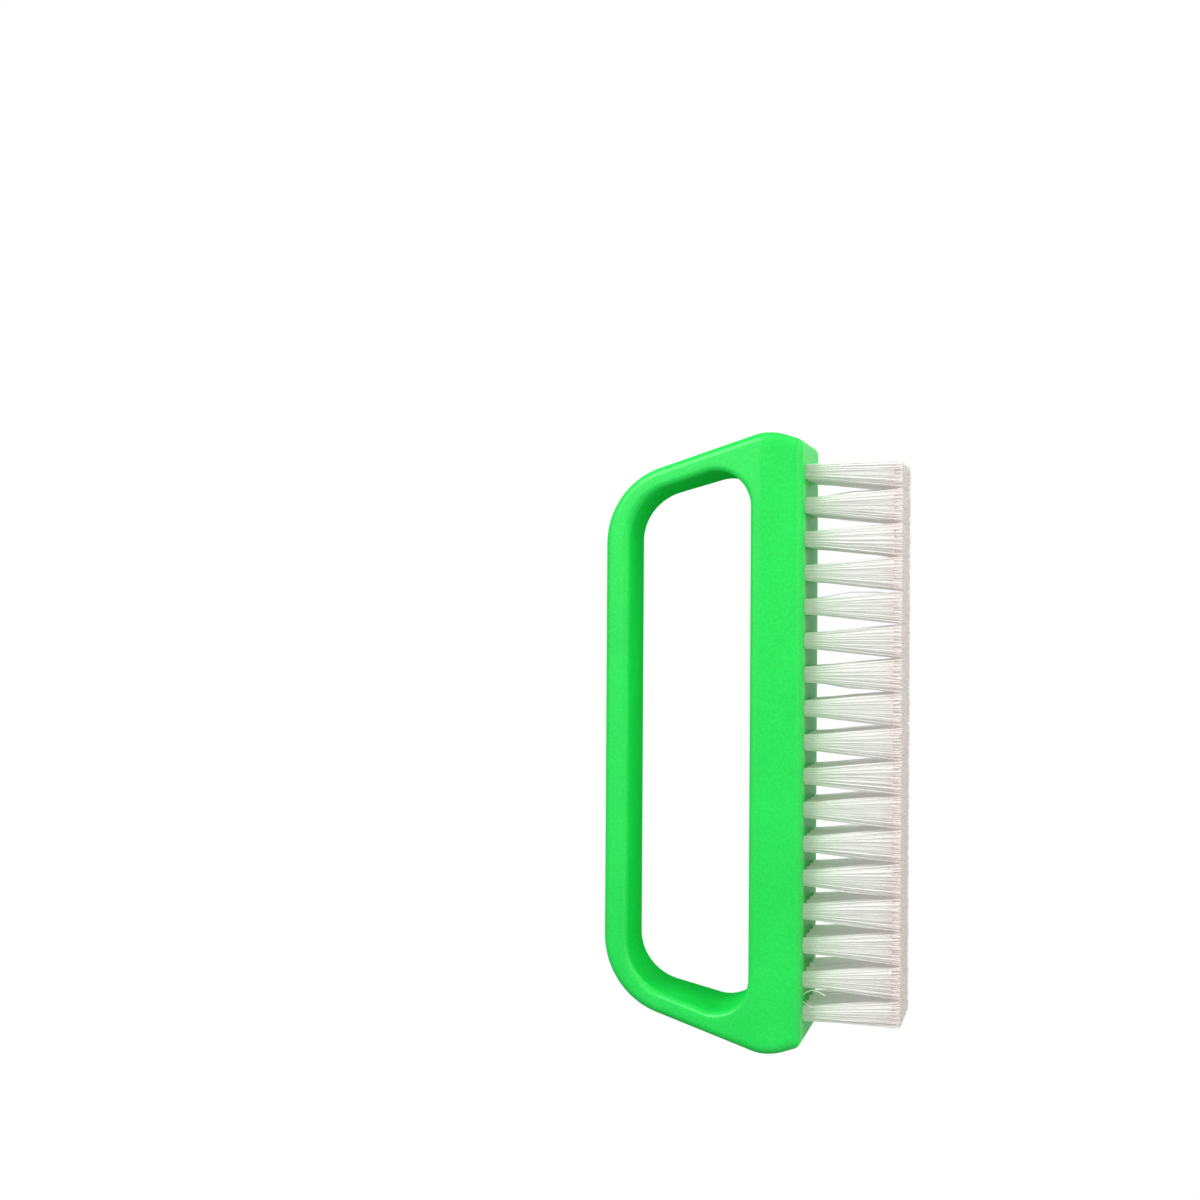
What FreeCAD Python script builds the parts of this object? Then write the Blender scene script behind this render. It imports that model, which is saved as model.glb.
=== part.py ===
import FreeCAD, Part
import math
import os
import Sketcher

# A nail brush with a loop handle, standing on its bristle tips.
# X runs along the brush, Y across it and Z up from the trimmed tips to the grip.
doc = FreeCAD.newDocument("nail_brush")
sizes = doc.addObject("Spreadsheet::Sheet", "sizes")

# Driving dimensions in millimetres, the counts of tufts, and the shares of a wall that soft edges may take
driving = {
    # Block that carries the bristles
    "block_length": 95.6,
    "block_width": 25.0,
    "block_thickness": 8.0,
    "face_setback": 1.6,
    "crest_rise": 5.1,
    "crest_radius": 8.0,
    "crease_drop": 1.6,
    # Loop handle above the block
    "opening_height": 19.6,
    "grip_setback": 8.2,
    "grip_width": 13.0,
    "grip_thickness": 3.8,
    "strut_thickness": 3.2,
    "grip_corner_radius": 12.2,
    "opening_grip_radius": 8.3,
    "opening_block_radius": 5.5,
    # Soft edges of the moulding
    "flank_crease_radius": 3.0,
    "outline_radius": 1.25,
    "outline_wall_share": 0.5,
    "rim_radius": 0.8,
    "rim_wall_share": 0.3,
    # Tufts and the blind holes that they are set in
    "trim_length": 15.0,
    "column_count": 17,
    "row_count": 4,
    "end_margin": 4.6,
    "side_margin": 4.7,
    "hole_width": 2.4,
    "hole_depth": 6.0,
    "root_clearance": 0.02,
    "tip_gap": 0.2,
    "end_flare": 0.4,
    # Flat wire anchors that hold the folded tufts
    "anchor_height": 1.6,
    "anchor_thickness": 0.35,
    "anchor_clearance": 0.02,
    "fold_thickness": 1.0,
    # Length by which a cut runs past the face that it opens
    "cut_overrun": 5.0,
}

# Heights, half lengths and sections that follow from them
derived = {
    "face_length": "=block_length - 2 * face_setback",
    "grip_length": "=block_length - 2 * grip_setback",
    "crest_height": "=trim_length + crest_rise",
    "opening_floor": "=trim_length + block_thickness",
    "crease_height": "=opening_floor - crease_drop",
    "opening_roof": "=opening_floor + opening_height",
    "top_height": "=opening_roof + grip_thickness",
    "strut_lean": "=grip_setback / (top_height - crest_height)",
    "strut_span": "=strut_thickness * sqrt(1 + strut_lean ^ 2)",
    "floor_half": "=block_length / 2 - strut_lean * (opening_floor - crest_height) - strut_span",
    "roof_half": "=block_length / 2 - strut_lean * (opening_roof - crest_height) - strut_span",
    "thin_wall": "=min(strut_thickness; grip_thickness)",
    "outline_rounding": "=min(outline_radius; outline_wall_share * thin_wall)",
    "rim_rounding": "=min(rim_radius; rim_wall_share * thin_wall)",
    "columns_half": "=face_length / 2 - end_margin",
    "rows_half": "=block_width / 2 - side_margin",
    "column_pitch": "=2 * columns_half / (column_count - 1)",
    "row_pitch": "=2 * rows_half / (row_count - 1)",
    "hole_end": "=trim_length + hole_depth",
    "hole_half": "=hole_width / 2",
    "flat_half": "=hole_half * tan(180 deg / 8)",
    "root_half": "=hole_half - root_clearance",
    "tip_half": "=(min(column_pitch; row_pitch) - tip_gap) / 2",
    "end_tip_half": "=root_half + end_flare",
    "end_corner_half": "=(tip_half + end_tip_half) / 2",
    "fold_share": "=hole_depth / trim_length",
    "anchor_length": "=hole_width - 2 * anchor_clearance",
    "anchor_foot": "=hole_end - fold_thickness - anchor_height",
    "slot_width": "=anchor_thickness + 2 * anchor_clearance",
    "slot_height": "=anchor_height + 2 * anchor_clearance",
    "slot_foot": "=anchor_foot - anchor_clearance",
}

for number, (alias, content) in enumerate({**driving, **derived}.items(), start=1):
    sizes.set(f"A{number}", alias)
    sizes.set(f"B{number}", str(content))
    sizes.setAlias(f"B{number}", alias)
doc.recompute()

# Surfaces that turn by more than this angle, in degrees, meet in a sharp edge
sharp_angle = 25
# Places no further apart than this are one and the same
same_place = 1e-4


def size(expression):
    """The number that an expression on the sheet's names gives."""
    return float(sizes.evalExpression(expression))


def bind(item, expressions):
    """Ties properties of an object to expressions on the sheet's names."""
    for path, expression in expressions.items():
        item.setExpression(path, expression)


def origin_feature(body, role):
    """The origin plane or axis of a body that has this role."""
    return next(item for item in body.Origin.OriginFeatures if item.Role == role)


def sketch_on(body, plane, name):
    """An empty sketch on one of the body's origin planes."""
    sketch = body.newObject("Sketcher::SketchObject", name)
    sketch.AttachmentSupport = (origin_feature(body, plane), [""])
    sketch.MapMode = "FlatFace"
    return sketch


def hold_at(sketch, geometry, point, across, up):
    """Holds a point of the sketch at a place given by two expressions."""
    for kind, expression in (("DistanceX", across), ("DistanceY", up)):
        place = Sketcher.Constraint(kind, -1, 1, geometry, point, size(expression))
        index = sketch.addConstraint(place)
        sketch.setExpression(f"Constraints[{index}]", expression)


def closed_loop(sketch, points):
    """A closed loop of lines through the points, joined end to start."""
    first = sketch.GeometryCount
    following = points[1:] + points[:1]
    for start, end in zip(points, following):
        sketch.addGeometry(Part.LineSegment(start, end), False)
    lines = list(range(first, sketch.GeometryCount))
    for line, after in zip(lines, lines[1:] + lines[:1]):
        sketch.addConstraint(Sketcher.Constraint("Coincident", line, 2, after, 1))
    return lines


def outline(sketch, corners):
    """A closed loop of lines whose corners are held at places given by expressions."""
    points = [FreeCAD.Vector(size(across), size(up)) for across, up in corners]
    for line, (across, up) in zip(closed_loop(sketch, points), corners):
        hold_at(sketch, line, 1, across, up)


def mirrored_outline(sketch, corners, joined):
    """Corners on one side and their mirror images, as one loop across the axis or as two loops."""
    near = [FreeCAD.Vector(size(across), size(up)) for across, up in corners]
    far = [FreeCAD.Vector(-point.x, point.y) for point in near]
    if joined:
        lines = closed_loop(sketch, near + far[::-1])
        near_lines = lines[: len(near)]
        far_lines = lines[: len(near) - 1 : -1]
    else:
        near_lines = closed_loop(sketch, near)
        far_lines = closed_loop(sketch, far)
    for line, mirror, (across, up) in zip(near_lines, far_lines, corners):
        hold_at(sketch, line, 1, across, up)
        sketch.addConstraint(Sketcher.Constraint("Symmetric", line, 1, mirror, 1, -2))


def feature(body, kind, profile, name, settings):
    """A pad or pocket made from a sketch."""
    item = body.newObject(f"PartDesign::{kind}", name)
    item.Profile = profile
    for key, value in settings.items():
        setattr(item, key, value)
    return item


def rounded(body, base, edges, radius, name):
    """A fillet of one radius on the named edges of the feature before it."""
    item = body.newObject("PartDesign::Fillet", name)
    item.Base = (base, edges)
    bind(item, {"Radius": radius})
    doc.recompute()
    return item


def same(first, second):
    """Whether two lengths are equal, apart from rounding."""
    return abs(first - second) < same_place


def edge_points(edge):
    """The start, middle and end of an edge."""
    first = edge.FirstParameter
    last = edge.LastParameter
    return [edge.valueAt(place) for place in (first, (first + last) / 2, last)]


def cross_edges(shape, half_length, height):
    """Names of the edges that run across the brush at this distance from its middle and height."""
    names = []
    for index, edge in enumerate(shape.Edges, start=1):
        start, middle, end = edge_points(edge)
        level = same(start.z, height) and same(end.z, height)
        if level and same(start.x, end.x) and same(abs(middle.x), half_length):
            names.append(f"Edge{index}")
    return names


def crease_edges(shape):
    """Names of the edges along which the upright flanks turn into the leaning ones."""
    names = []
    for index, edge in enumerate(shape.Edges, start=1):
        points = edge_points(edge)
        level = all(same(point.z, sizes.crease_height) for point in points)
        if level and all(same(abs(point.y), sizes.block_width / 2) for point in points):
            names.append(f"Edge{index}")
    return names


def fold_angle(shape, edge):
    """The angle by which the surface turns at an edge, in degrees."""
    middle = edge_points(edge)[1]
    faces = shape.ancestorsOfType(edge, Part.Face)
    normals = [face.normalAt(*face.Surface.parameter(middle)) for face in faces]
    return math.degrees(normals[0].getAngle(normals[-1]))


def in_opening(point):
    """Whether a point lies within the side view of the finger opening, or on its rim."""
    rise = point.z - sizes.opening_floor
    wall_half = sizes.floor_half - sizes.strut_lean * rise
    between = -same_place < rise < sizes.opening_height + same_place
    return between and abs(point.x) < wall_half + same_place


def sharp_edges(shape, opening):
    """Names of the sharp edges on the rims of the finger opening, or of all the others."""
    names = []
    for index, edge in enumerate(shape.Edges, start=1):
        if in_opening(edge_points(edge)[1]) == opening and fold_angle(shape, edge) > sharp_angle:
            names.append(f"Edge{index}")
    return names


# Block and loop handle, moulded in one piece: a side profile, padded across the brush
handle_block = doc.addObject("PartDesign::Body", "handle_block")

side_profile = sketch_on(handle_block, "XZ_Plane", "side_profile")
side_corners = [
    ("sizes.face_length / 2", "sizes.trim_length"),
    ("sizes.block_length / 2", "sizes.crest_height"),
    ("sizes.grip_length / 2", "sizes.top_height"),
]
mirrored_outline(side_profile, side_corners, joined=True)
side_pad = feature(handle_block, "Pad", side_profile, "side_pad", {"SideType": "Symmetric"})
bind(side_pad, {"Length": "sizes.block_width"})

# Both flanks lean in from just below the opening, so that the grip is about half as wide as the block
through = {"SideType": "Symmetric", "Type": "ThroughAll"}
flank_profile = sketch_on(handle_block, "YZ_Plane", "flank_profile")
flank_corners = [
    ("sizes.block_width / 2", "sizes.crease_height"),
    ("sizes.block_width / 2 + sizes.cut_overrun", "sizes.crease_height"),
    ("sizes.block_width / 2 + sizes.cut_overrun", "sizes.top_height + sizes.cut_overrun"),
    ("sizes.grip_width / 2", "sizes.top_height + sizes.cut_overrun"),
    ("sizes.grip_width / 2", "sizes.top_height"),
]
mirrored_outline(flank_profile, flank_corners, joined=False)
flank_cut = feature(handle_block, "Pocket", flank_profile, "flank_cut", through)

# Finger opening, with end walls that follow the leaning struts
opening_profile = sketch_on(handle_block, "XZ_Plane", "opening_profile")
opening_corners = [
    ("sizes.floor_half", "sizes.opening_floor"),
    ("sizes.roof_half", "sizes.opening_roof"),
]
mirrored_outline(opening_profile, opening_corners, joined=True)
opening_cut = feature(handle_block, "Pocket", opening_profile, "opening_cut", through)
doc.recompute()

# Large corner roundings that show in the side view
corner_roundings = {
    "grip_corners": (side_corners[2], "sizes.grip_corner_radius"),
    "opening_grip_corners": (opening_corners[1], "sizes.opening_grip_radius"),
    "opening_block_corners": (opening_corners[0], "sizes.opening_block_radius"),
    "end_crests": (side_corners[1], "sizes.crest_radius"),
}
moulded = opening_cut
for name, ((half_length, height), radius) in corner_roundings.items():
    edges = cross_edges(moulded.Shape, size(half_length), size(height))
    moulded = rounded(handle_block, moulded, edges, radius, name)

# Soft crease along each flank
creases = crease_edges(moulded.Shape)
moulded = rounded(handle_block, moulded, creases, "sizes.flank_crease_radius", "flank_creases")

# Soft edges all round: the outline with the rim of the bristle face, then the rims of the finger opening
outer_edges = sharp_edges(moulded.Shape, opening=False)
moulded = rounded(handle_block, moulded, outer_edges, "sizes.outline_rounding", "soft_outline")
rim_edges = sharp_edges(moulded.Shape, opening=True)
moulded = rounded(handle_block, moulded, rim_edges, "sizes.rim_rounding", "soft_rims")

# Blind tuft hole with eight flats, in one corner of the bristle face
hole_profile = sketch_on(handle_block, "XY_Plane", "hole_profile")
bind(hole_profile, {"AttachmentOffset.Base.z": "sizes.trim_length"})
hole_corners = [
    ("+ sizes.hole_half", "- sizes.flat_half"),
    ("+ sizes.hole_half", "+ sizes.flat_half"),
    ("+ sizes.flat_half", "+ sizes.hole_half"),
    ("- sizes.flat_half", "+ sizes.hole_half"),
    ("- sizes.hole_half", "+ sizes.flat_half"),
    ("- sizes.hole_half", "- sizes.flat_half"),
    ("- sizes.flat_half", "- sizes.hole_half"),
    ("+ sizes.flat_half", "- sizes.hole_half"),
]
outline(hole_profile, [(f"-sizes.columns_half {x}", f"-sizes.rows_half {y}") for x, y in hole_corners])
hole = feature(handle_block, "Pocket", hole_profile, "hole", {"Reversed": True})
bind(hole, {"Length": "sizes.hole_depth"})
doc.recompute()

# The whole grid of holes, in columns along the brush and rows across it
hole_grid = handle_block.newObject("PartDesign::LinearPattern", "hole_grid")
hole_grid.Originals = [hole]
hole_grid.Direction = (origin_feature(handle_block, "X_Axis"), [""])
hole_grid.Direction2 = (origin_feature(handle_block, "Y_Axis"), [""])
grid_sizes = {
    "Length": "2 * sizes.columns_half",
    "Occurrences": "sizes.column_count",
    "Length2": "2 * sizes.rows_half",
    "Occurrences2": "sizes.row_count",
}
bind(hole_grid, grid_sizes)
handle_block.Tip = hole_grid
doc.recompute()

# A tuft's flare runs straight through the mouth of its hole, so its fold is narrower than its root
flat_turn = FreeCAD.Rotation(FreeCAD.Vector(1, 0, 0), 90)
corner_turn = FreeCAD.Rotation(FreeCAD.Vector(0, 0, 1), 45).multiply(flat_turn)


def fold_half(tip_half):
    """Half width at the fold of a side that passes the mouth and ends at this half width at the tip."""
    return f"(sizes.root_half - ({tip_half} - sizes.root_half) * sizes.fold_share)"


def flare(name, turn, outward, sideways):
    """Four flat sides from the trimmed tip to the fold, with their own half widths outward and sideways."""
    inward = "sizes.tip_half"
    wedge = doc.addObject("Part::Wedge", name)
    wedge.Placement.Rotation = turn
    bind(wedge, {"Xmin": f"-{outward}", "Xmax": inward, "Ymax": "sizes.hole_end"})
    bind(wedge, {"Zmin": f"-{sideways}", "Zmax": inward})
    bind(wedge, {"X2min": f"-{fold_half(outward)}", "X2max": fold_half(inward)})
    bind(wedge, {"Z2min": f"-{fold_half(sideways)}", "Z2max": fold_half(inward)})
    wedge.Ymin = 0
    return wedge


def flat_box(name, length, width, height, foot):
    """A box centred on the Z axis, with its foot at a height."""
    box = doc.addObject("Part::Box", name)
    bind(box, {"Length": length, "Width": width, "Height": height})
    bind(box, {"Placement.Base.x": f"-{length} / 2", "Placement.Base.y": f"-{width} / 2"})
    bind(box, {"Placement.Base.z": foot})
    return box


def tuft(name, outward, corner):
    """A folded bundle of bristles with eight flat sides, and a slot through its fold for the anchor."""
    flats = flare(f"{name}_flats", flat_turn, outward, "sizes.tip_half")
    corners = flare(f"{name}_corners", corner_turn, corner, corner)
    bundle = doc.addObject("Part::Common", f"{name}_bundle")
    bundle.Base = flats
    bundle.Tool = corners
    slot = flat_box(f"{name}_slot", "sizes.hole_width", "sizes.slot_width", "sizes.slot_height", "sizes.slot_foot")
    finished = doc.addObject("Part::Cut", name)
    finished.Base = bundle
    finished.Tool = slot
    return finished


def set_at(pattern, label, column, row, turn):
    """A copy of a tuft or an anchor at its hole in the grid."""
    copy = doc.addObject("App::Link", label)
    copy.LinkedObject = pattern
    copy.LinkTransform = True
    copy.Placement.Rotation = FreeCAD.Rotation(FreeCAD.Vector(0, 0, 1), turn)
    bind(copy, {"Placement.Base.x": f"sizes.column_pitch * {column} - sizes.columns_half"})
    bind(copy, {"Placement.Base.y": f"sizes.row_pitch * {row} - sizes.rows_half"})
    return copy


def column_group(label, members):
    """The like pieces of one column, as separate solids under one label."""
    group = doc.addObject("Part::Compound", label)
    group.Links = members
    return group


# One tuft of each kind, and one anchor: the tufts at the two ends flare little outward
middle_tuft = tuft("middle_tuft", "sizes.tip_half", "sizes.tip_half")
end_tuft = tuft("end_tuft", "sizes.end_tip_half", "sizes.end_corner_half")
anchor = flat_box("anchor", "sizes.anchor_length", "sizes.anchor_thickness", "sizes.anchor_height", "sizes.anchor_foot")
doc.recompute()

# Tufts and anchors, column by column from one end of the brush to the other
columns = int(sizes.column_count)
rows = range(int(sizes.row_count))
sub_parts = [handle_block]
for column in range(columns):
    at_end = column in (0, columns - 1)
    pattern = end_tuft if at_end else middle_tuft
    turn = 180 if column == columns - 1 else 0
    number = f"{column + 1:02d}"
    tufts = [set_at(pattern, f"tuft_{number}_{row + 1}", column, row, turn) for row in rows]
    anchors = [set_at(anchor, f"anchor_{number}_{row + 1}", column, row, 0) for row in rows]
    sub_parts.append(column_group(f"tuft_column_{number}", tufts))
    sub_parts.append(column_group(f"anchor_column_{number}", anchors))
doc.recompute()

# Nothing is written unless every object is sound
for item in doc.Objects:
    if "Invalid" in item.State or "Error" in item.State:
        raise RuntimeError(f"{item.Label} could not be made: {item.State}")
for item in sub_parts:
    if item.Shape.isNull() or not item.Shape.isValid():
        raise RuntimeError(f"{item.Label} has no sound shape")
if hole_grid.Shape.Volume >= hole.Shape.Volume or hole.Shape.Volume >= moulded.Shape.Volume:
    raise RuntimeError("the tuft holes cut nothing")

os.makedirs("parts", exist_ok=True)
for item in sub_parts:
    item.Shape.exportStep(f"parts/{item.Label}.step")
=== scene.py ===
import math
import random

import bpy
import numpy as np
from mathutils import Matrix, Vector


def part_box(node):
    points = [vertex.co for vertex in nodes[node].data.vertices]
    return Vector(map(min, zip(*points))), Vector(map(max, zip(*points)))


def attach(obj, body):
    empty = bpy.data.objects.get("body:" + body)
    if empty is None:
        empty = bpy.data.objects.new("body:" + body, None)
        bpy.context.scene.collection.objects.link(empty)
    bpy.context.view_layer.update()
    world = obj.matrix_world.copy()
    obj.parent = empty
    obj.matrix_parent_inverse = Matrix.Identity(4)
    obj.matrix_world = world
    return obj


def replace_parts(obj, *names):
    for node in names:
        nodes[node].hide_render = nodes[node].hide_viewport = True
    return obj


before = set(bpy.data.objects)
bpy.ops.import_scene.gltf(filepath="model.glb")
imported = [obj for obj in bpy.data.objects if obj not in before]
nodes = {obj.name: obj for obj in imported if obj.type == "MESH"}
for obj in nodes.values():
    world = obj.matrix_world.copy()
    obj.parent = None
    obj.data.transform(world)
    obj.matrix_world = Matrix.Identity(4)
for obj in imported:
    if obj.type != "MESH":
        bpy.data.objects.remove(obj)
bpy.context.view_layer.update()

# ---------------------------------------------------------------- Handle and block
# One injection moulding of tough green plastic: the block with its tuft holes and
# the loop handle above it. The mould was lightly blasted, so the skin is satin,
# with a faint mottle, and a little smoother where fingers hold the grip.
mm = 0.001


class Value:
    """A shader socket that can stand in sums and products."""

    def __init__(self, tree, socket):
        self.tree, self.socket = tree, socket

    def make(self, kind, settings=None, inputs=None, output=0):
        """Any node, from its type, its settings and what goes into its inputs."""
        node = self.tree.nodes.new(kind)
        for name, setting in (settings or {}).items():
            setattr(node, name, setting)
        for key, source in (inputs or {}).items():
            if isinstance(source, Value):
                self.tree.links.new(source.socket, node.inputs[key])
            else:
                node.inputs[key].default_value = source
        return Value(self.tree, node.outputs[output])

    def maths(self, operation, first, second):
        return self.make("ShaderNodeMath", {"operation": operation}, {0: first, 1: second})

    def __add__(self, other):
        return self.maths("ADD", self, other)

    def __sub__(self, other):
        return self.maths("SUBTRACT", self, other)

    def __rsub__(self, other):
        return self.maths("SUBTRACT", other, self)

    def __mul__(self, other):
        return self.maths("MULTIPLY", self, other)

    __radd__ = __add__
    __rmul__ = __mul__

    def ramp(self, low, high):
        """0 up to low, 1 from high on, and a soft step between them."""
        return self.make("ShaderNodeMapRange", {"interpolation_type": "SMOOTHSTEP"},
                         {"Value": self, "From Min": low, "From Max": high})

    def blend(self, first, second):
        """The first colour where this is 0 and the second where it is 1."""
        return self.make("ShaderNodeMix", {"data_type": "RGBA"},
                         {"Factor": self, 6: first, 7: second}, output=2)


def new_material(name):
    """An empty material, its surface shader, and the place on the piece."""
    material = bpy.data.materials.new(name)
    material.use_nodes = True
    tree = material.node_tree
    shader = tree.nodes["Principled BSDF"]
    coordinates = tree.nodes.new("ShaderNodeTexCoord")
    return material, shader, Value(tree, coordinates.outputs["Object"])


def feed(shader, name, value):
    """Leads a value into one of the shader's inputs."""
    value.tree.links.new(value.socket, shader.inputs[name])


def noise(place, scale, detail=2.0, roughness=0.5):
    """Cloudy noise from 0 to 1 with so many lumps to a metre."""
    return place.make("ShaderNodeTexNoise", None,
                      {"Vector": place, "Scale": scale, "Detail": detail, "Roughness": roughness})


def bump(height, strength, distance, normal):
    """A normal that follows a height from 0 to 1, with its full height in metres."""
    return height.make("ShaderNodeBump", None,
                       {"Height": height, "Strength": strength, "Distance": distance, "Normal": normal})


deep_green = (0.010, 0.49, 0.060, 1)
light_green = (0.013, 0.58, 0.074, 1)
mottles_per_metre = 130.0
grains_per_metre = 3000.0
grain_depth = 0.02 * mm
grip_foot, grip_top = 36 * mm, 46 * mm
face_height, flank_height = 15.1 * mm, 15.6 * mm
edge_radius = 1.6 * mm
sheen = 0.6

plastic, shader, place = new_material("moulded_plastic")
height_up = place.make("ShaderNodeSeparateXYZ", None, {0: place}, output=2)
above_face = height_up.ramp(face_height, flank_height)
grip_wear = height_up.ramp(grip_foot, grip_top)
mottle = noise(place, mottles_per_metre, detail=3.0)
grain = noise(place, grains_per_metre, detail=1.0)
speckle = 0.4 * mottle.ramp(0.3, 0.7) + 0.6 * grain.ramp(0.3, 0.7)
feed(shader, "Base Color", speckle.blend(deep_green, light_green))
feed(shader, "Roughness", 0.50 + 0.10 * mottle - 0.06 * grip_wear)
# edges look softer all over, apart from the bristle face with its holes
plain_normal = place.make("ShaderNodeNewGeometry", output=1)
soft_normal = place.make("ShaderNodeBevel", {"samples": 8}, {"Radius": edge_radius})
edge_normal = place.make("ShaderNodeMix", {"data_type": "VECTOR"},
                         {"Factor": above_face, 4: plain_normal, 5: soft_normal}, output=1)
feed(shader, "Normal", bump(grain, 0.4, grain_depth, edge_normal))
# the sheen fades where the surface is seen at a low angle, so that inner walls stay deep green
grazing = place.make("ShaderNodeLayerWeight", None, {"Blend": 0.5}, output=1).ramp(0.35, 0.75)
feed(shader, "Coat Weight", sheen * (1 - grazing * above_face))
shader.inputs["Coat Roughness"].default_value = 0.38
shader.inputs["Specular IOR Level"].default_value = 0.0

block = nodes["handle_block"]
block.data.materials.clear()
block.data.materials.append(plastic)

# ---------------------------------------------------------------- Bristle tufts
# Bundles of milky nylon filament, folded in half, set in the holes of the bristle
# face and trimmed flat. Each bundle opens as it leaves its hole, until the cut ends
# of neighbours touch. Its close-packed middle is one core, with loose filaments round it.
row_count = 4
mouth_height = 15 * mm
root_sink = 1.2 * mm
mouth_radius = 1.08 * mm
solid_tip_half = 2.5 * mm
tip_half = 2.55 * mm
outer_tip_half = 1.52 * mm
ragged_trim = 0.45 * mm
filament_radius = 0.09 * mm
filaments_per_tuft = 190
core_share = 0.94
core_end = 1.3 * mm
corner_reach = 1.2
tip_scatter = 0.08 * mm
bow_scatter = 0.06 * mm
stray_share = 0.006
stray_bow = 8
golden_turn = math.pi * (3 - math.sqrt(5))
chance = random.Random(7)

dull_white = (0.60, 0.60, 0.57, 1)
bright_white = (0.67, 0.66, 0.64, 1)
# painted light: a pink reflection painted onto the cut ends of the bristles
painted_pink_reflection = (0.66, 0.60, 0.57, 1)
# painted light: greener, darker shade painted near the roots, where light bounced off the green block
# falls
painted_green_bounce_shade = (0.47, 0.64, 0.43, 1)
along_strand = (1, 1, 0.02)
strands_per_metre = 2600.0
passed_light = 0.2

nylon, shader, place = new_material("nylon_bristle")
height_up = place.make("ShaderNodeSeparateXYZ", None, {0: place}, output=2)
stretched = place.make("ShaderNodeVectorMath", {"operation": "MULTIPLY"}, {0: place, 1: along_strand})
strand = noise(stretched, strands_per_metre, detail=1.0)
body_colour = strand.ramp(0.3, 0.7).blend(dull_white, bright_white)
near_tip = 1 - height_up.ramp(0.2 * mm, 5 * mm)
near_root = height_up.ramp(6 * mm, 15.5 * mm)
# painted light: the pink reflection is painted over the last 5 mm towards the cut ends
tips_with_painted_reflection = (0.8 * near_tip).blend(body_colour, painted_pink_reflection)
# painted light: green-tinged shade painted over the bristles from 6 mm up to the holes; this colour,
# painted light included, also feeds the glow below
nylon_with_painted_light = (0.6 * near_root).blend(tips_with_painted_reflection, painted_green_bounce_shade)
feed(shader, "Base Color", nylon_with_painted_light)
# a faint glow stands in for the light that clear filaments pass on to one another
feed(shader, "Emission Color", nylon_with_painted_light)
shader.inputs["Emission Strength"].default_value = passed_light
feed(shader, "Roughness", 0.40 + 0.2 * strand)
shader.inputs["Specular IOR Level"].default_value = 0.3
shader.inputs["Subsurface Weight"].default_value = 0.6
shader.inputs["Subsurface Radius"].default_value = (1.0, 1.0, 0.96)
shader.inputs["Subsurface Scale"].default_value = 2.5 * mm


def drawn_rod(sides, steps):
    """A rod of radius 1 and length 1, drawn out ring by ring.

    Gives each point's place in the section, its share of the length, and the faces."""
    bpy.ops.object.select_all(action="DESELECT")
    bpy.ops.mesh.primitive_circle_add(vertices=sides, radius=1, fill_type="NGON")
    rod = bpy.context.object
    bpy.ops.object.mode_set(mode="EDIT")
    bpy.ops.mesh.select_all(action="SELECT")
    for step in range(steps):
        bpy.ops.mesh.extrude_region_move(TRANSFORM_OT_translate={"value": (0, 0, -1 / steps)})
    bpy.ops.mesh.select_all(action="SELECT")
    bpy.ops.mesh.normals_make_consistent(inside=False)
    bpy.ops.object.mode_set(mode="OBJECT")
    points = np.array([vertex.co for vertex in rod.data.vertices])
    faces = [list(face.vertices) for face in rod.data.polygons]
    bpy.data.objects.remove(rod)
    return points[:, :2], -points[:, 2], faces


filament_section, filament_along, filament_faces = drawn_rod(sides=5, steps=4)
core_section, core_along, core_faces = drawn_rod(sides=16, steps=4)


def root_and_tip(across, deep, spread, reach_left, reach_right):
    """Where a line of the bundle leaves the round hole, and where it ends in the squarer tip."""
    square = min(1 / max(abs(across), abs(deep)), corner_reach)
    reach = reach_right if across > 0 else reach_left
    root = np.array((across, deep)) * spread * mouth_radius
    tip = np.array((across * reach, deep * tip_half)) * spread * square
    return root, tip


def filament_points(root, tip, bow, foot):
    """One filament from inside its hole to its cut end, with a slight bow."""
    root_height = mouth_height + root_sink
    height = root_height + (foot - root_height) * filament_along
    share = np.clip(1 - height / mouth_height, 0, 1)[:, None]
    path = root + (tip - root) * share + bow * np.sin(np.pi * share)
    return np.column_stack([path + filament_radius * filament_section, height])


def core_points(reach_left, reach_right):
    """The middle of a bundle, which ends short of the cut ends."""
    root_height = mouth_height + root_sink
    height = root_height + (core_end - root_height) * core_along
    share = np.clip(1 - height / mouth_height, 0, 1)
    ends = [root_and_tip(across, deep, core_share, reach_left, reach_right)
            for across, deep in core_section]
    path = [root + (tip - root) * part for (root, tip), part in zip(ends, share)]
    return np.column_stack([np.array(path), height])


def bundle_mesh(name, rods):
    """One mesh of many rods, each given by its points and faces."""
    points, faces, count = [], [], 0
    for rod_points, rod_faces in rods:
        faces += [[count + index for index in face] for face in rod_faces]
        points.append(rod_points)
        count += len(rod_points)
    mesh = bpy.data.meshes.new(name)
    mesh.from_pydata(np.vstack(points).tolist(), [], faces)
    mesh.polygons.foreach_set("use_smooth", [len(face) == 4 for face in faces])
    mesh.materials.append(nylon)
    bundle = bpy.data.objects.new(name, mesh)
    bpy.context.scene.collection.objects.link(bundle)
    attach(bundle, "root")
    return bundle


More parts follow.
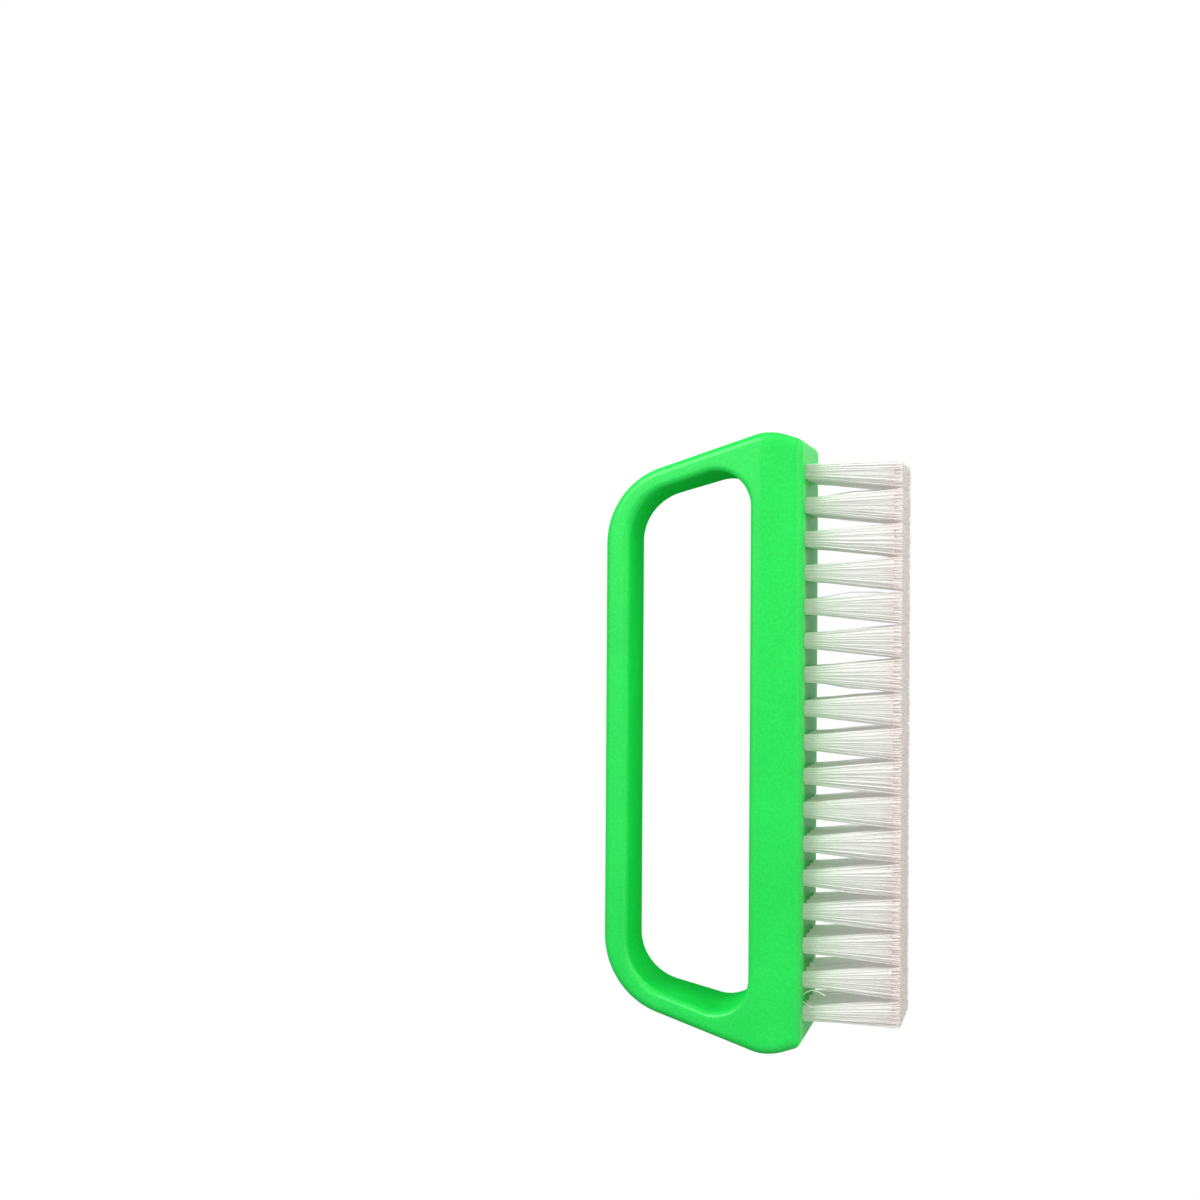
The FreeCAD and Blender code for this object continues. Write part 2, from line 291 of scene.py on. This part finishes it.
tuft_columns = sorted(name for name in nodes if name.startswith("tuft_column"))
for name in tuft_columns:
    anchor_low, anchor_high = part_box(name.replace("tuft", "anchor"))
    column_x = (anchor_low[0] + anchor_high[0]) / 2
    rows_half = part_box(name)[1][1] - solid_tip_half
    reach_left = outer_tip_half if name == tuft_columns[0] else tip_half
    reach_right = outer_tip_half if name == tuft_columns[-1] else tip_half
    rods = []
    for row in range(row_count):
        middle = np.array((column_x, rows_half * (2 * row / (row_count - 1) - 1), 0))
        rods.append((core_points(reach_left, reach_right) + middle, core_faces))
        for number in range(filaments_per_tuft):
            turn = number * golden_turn
            spread = math.sqrt((number + 0.5) / filaments_per_tuft)
            root, tip = root_and_tip(math.cos(turn), math.sin(turn), spread, reach_left, reach_right)
            tip += np.array((chance.gauss(0, tip_scatter), chance.gauss(0, tip_scatter)))
            bow = np.array((chance.gauss(0, bow_scatter), chance.gauss(0, bow_scatter)))
            if chance.random() < stray_share:
                bow *= stray_bow
            foot = ragged_trim * chance.random() ** 2
            rods.append((filament_points(root, tip, bow, foot) + middle, filament_faces))
    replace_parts(bundle_mesh(name + "_filaments", rods), name)

# Two short hairs, bent out of the front row near one end: start, end and sag in millimetres
hair_routes = np.array((((-38.9, -8.5, 15.2), (-38.5, -9.8, 11.4), (0.9, -0.3, 0.2)),
                        ((-39.6, -8.4, 15.2), (-40.2, -9.6, 12.6), (-0.5, -0.3, -0.4))))
section = np.column_stack([filament_radius * filament_section, 0 * filament_along])
part = filament_along[:, None]
hairs = []
for start, finish, sag in hair_routes:
    path = start + (finish - start) * part + sag * np.sin(np.pi * part)
    hairs.append((path * mm + section, filament_faces))
bundle_mesh("loose_hairs", hairs)

# ---------------------------------------------------------------- Wire anchors
# Short lengths of flat drawn wire, driven into the holes across the fold of each
# tuft. They stay out of sight inside the block.
dark_metal = (0.48, 0.46, 0.42, 1)
bright_metal = (0.62, 0.60, 0.55, 1)
across_wire = (1, 1, 12)
lines_per_metre = 900.0

wire, shader, place = new_material("anchor_wire")
stretched = place.make("ShaderNodeVectorMath", {"operation": "MULTIPLY"}, {0: place, 1: across_wire})
drawing = noise(stretched, lines_per_metre, detail=2.0)
feed(shader, "Base Color", drawing.blend(dark_metal, bright_metal))
feed(shader, "Roughness", 0.28 + 0.2 * drawing)
shader.inputs["Metallic"].default_value = 1.0
for name, node in nodes.items():
    if name.startswith("anchor_column"):
        node.data.materials.clear()
        node.data.materials.append(wire)

# ---------------------------------------------------------------- Floor, light and camera
# The brush stands on its tips on a pale floor in soft studio light. The camera looks
# at its side from a little below the floor's level, so the floor is clear from below and
# lets the light of the two lamps there through. The camera's picture has +X upwards.
floor_size = 3.0
floor_fade_start, floor_fade_end = 0.25, 0.65
floor_grey = (0.84, 0.84, 0.84, 1)
floor_white = (0.87, 0.87, 0.87, 1)
clouds_per_metre = 3.0
room_light = 0.28

bpy.ops.mesh.primitive_plane_add(size=floor_size)
floor = bpy.context.object
floor.name = "floor"
paper, shader, place = new_material("floor_paper")
tree = paper.node_tree
feed(shader, "Base Color", noise(place, clouds_per_metre).blend(floor_grey, floor_white))
shader.inputs["Roughness"].default_value = 0.9
camera_ray = place.make("ShaderNodeLightPath", output=0)
shadow_ray = place.make("ShaderNodeLightPath", output=1)
underside = place.make("ShaderNodeNewGeometry", output=6)
distance = place.make("ShaderNodeVectorMath", {"operation": "LENGTH"}, {0: place}, output=1)
faded = underside + distance.ramp(floor_fade_start, floor_fade_end)
clear = place.make("ShaderNodeBsdfTransparent")
surface = place.make("ShaderNodeMixShader", None,
                     {0: camera_ray * faded + shadow_ray, 1: Value(tree, shader.outputs[0]), 2: clear})
tree.links.new(surface.socket, tree.nodes["Material Output"].inputs["Surface"])
floor.data.materials.append(paper)

world = bpy.data.worlds.new("studio")
world.use_nodes = True
bpy.context.scene.world = world
tree = world.node_tree
camera_ray = Value(tree, tree.nodes.new("ShaderNodeLightPath").outputs["Is Camera Ray"])
tree.nodes["Background"].inputs["Color"].default_value = (1, 1, 1, 1)
backdrop = room_light + (1 - room_light) * camera_ray
tree.links.new(backdrop.socket, tree.nodes["Background"].inputs["Strength"])


def soft_lamp(name, position, aim, width, power):
    """A square lamp at one place that shines towards another."""
    data = bpy.data.lights.new(name, "AREA")
    data.shape, data.size, data.energy = "SQUARE", width, power
    lamp = bpy.data.objects.new(name, data)
    lamp.location = position
    lamp.rotation_euler = (Vector(aim) - Vector(position)).to_track_quat("-Z", "Y").to_euler()
    bpy.context.scene.collection.objects.link(lamp)


brush_middle = (0, 0, 23 * mm)
soft_lamp("high_lamp", (0.40, -0.50, 0.50), brush_middle, 0.45, 7.0)
soft_lamp("key_lamp", (0.22, -0.20, -0.13), brush_middle, 0.22, 0.46)
soft_lamp("low_lamp", (0.18, -0.24, -0.36), brush_middle, 0.30, 0.75)
soft_lamp("back_lamp", (0.10, 0.80, 0.45), brush_middle, 0.8, 6.0)

camera_place = Vector((19.3, -386.6, -24.5)) * mm
ahead = Vector((0.0063, 1, 0.189)).normalized()
roll = 0.0061
view_width_pixels, focal_pixels = 1200, 2469.4
right = ahead.cross(Vector((1, 0, 0))).normalized()
up = right.cross(ahead)
right, up = right * math.cos(roll) + up * math.sin(roll), up * math.cos(roll) - right * math.sin(roll)
data = bpy.data.cameras.new("camera")
data.sensor_width = 36.0
data.lens = data.sensor_width * focal_pixels / view_width_pixels
data.clip_start = 0.01
camera = bpy.data.objects.new("camera", data)
camera.matrix_world = Matrix.Translation(camera_place) @ Matrix((right, up, -ahead)).transposed().to_4x4()
bpy.context.scene.collection.objects.link(camera)
bpy.context.scene.camera = camera
bpy.context.scene.view_settings.view_transform = "Standard"
